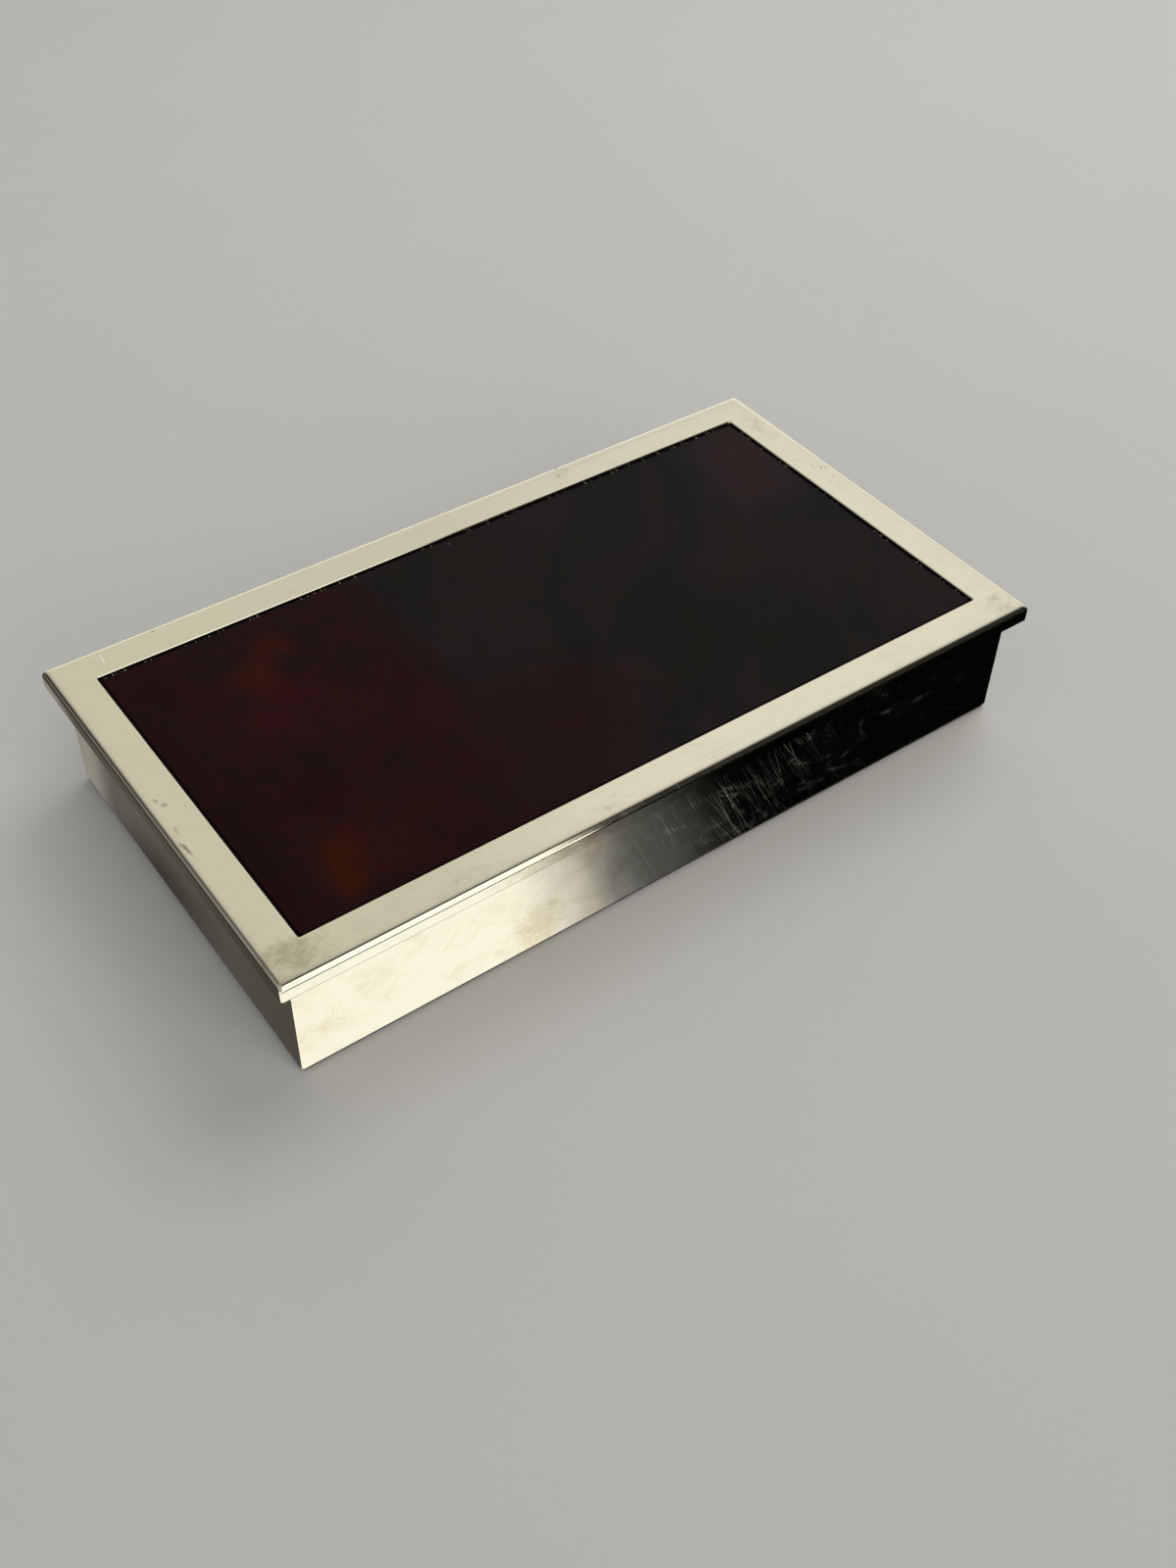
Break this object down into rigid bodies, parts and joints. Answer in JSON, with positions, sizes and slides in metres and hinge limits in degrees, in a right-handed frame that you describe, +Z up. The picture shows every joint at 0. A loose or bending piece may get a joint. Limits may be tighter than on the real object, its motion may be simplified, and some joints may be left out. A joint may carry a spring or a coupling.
{
  "type": "vanity box",
  "caption": "Low rectangular nickel-plated box with an overhanging hinged lid, a tortoiseshell acrylic panel set in the lid's frame, a wooden lining and a mirror under the lid.",
  "frame": {"origin": "middle of the underside, on the surface that the box stands on", "axes": "+X along the long side, +Y towards the hinge at the back, +Z up"},
  "size_m": [0.24, 0.132, 0.0392],
  "materials": {
    "nickel": "polished, lightly scuffed",
    "tortoiseshell": "polished acrylic, dark brown with amber clouds",
    "adhesive": "dull, with crumbs",
    "mahogany": "satin varnish",
    "plywood": "bare",
    "suede": "napped",
    "felt": "felt",
    "mirror": "silvered glass",
    "brass": "satin, slightly dulled"
  },
  "bodies": {
    "case": {"base_pad": "felt", "case_band": "nickel", "bottom_board": "plywood", "floor_pad": "suede", "liner_front": "mahogany", "liner_right": "mahogany", "liner_back": "mahogany", "liner_left": "mahogany", "case_hinge_leaf": "brass", "hinge_pin": "brass", "case_hinge_screw_1": "brass", "case_hinge_screw_2": "brass", "case_hinge_screw_3": "brass", "case_hinge_screw_4": "brass", "case_hinge_screw_5": "brass", "case_hinge_screw_6": "brass", "case_hinge_screw_7": "brass"},
    "lid": {"lid_frame": "nickel", "tortoiseshell_panel": "tortoiseshell", "panel_bedding": "adhesive", "lid_board": "mahogany", "lid_mirror": "mirror", "mirror_bead_front": "mahogany", "mirror_bead_right": "mahogany", "mirror_bead_back": "mahogany", "mirror_bead_left": "mahogany", "lid_hinge_leaf": "brass", "lid_hinge_screw_1": "brass", "lid_hinge_screw_2": "brass", "lid_hinge_screw_3": "brass", "lid_hinge_screw_4": "brass", "lid_hinge_screw_5": "brass", "lid_hinge_screw_6": "brass", "lid_hinge_screw_7": "brass"}
  },
  "joints": [
    {"name": "lid_hinge", "type": "hinge", "parent": "case", "child": "lid", "pos_m": [0, 0.06325, 0.03385], "axis": [-1, 0, 0], "range_deg": [0, 118]}
  ]
}
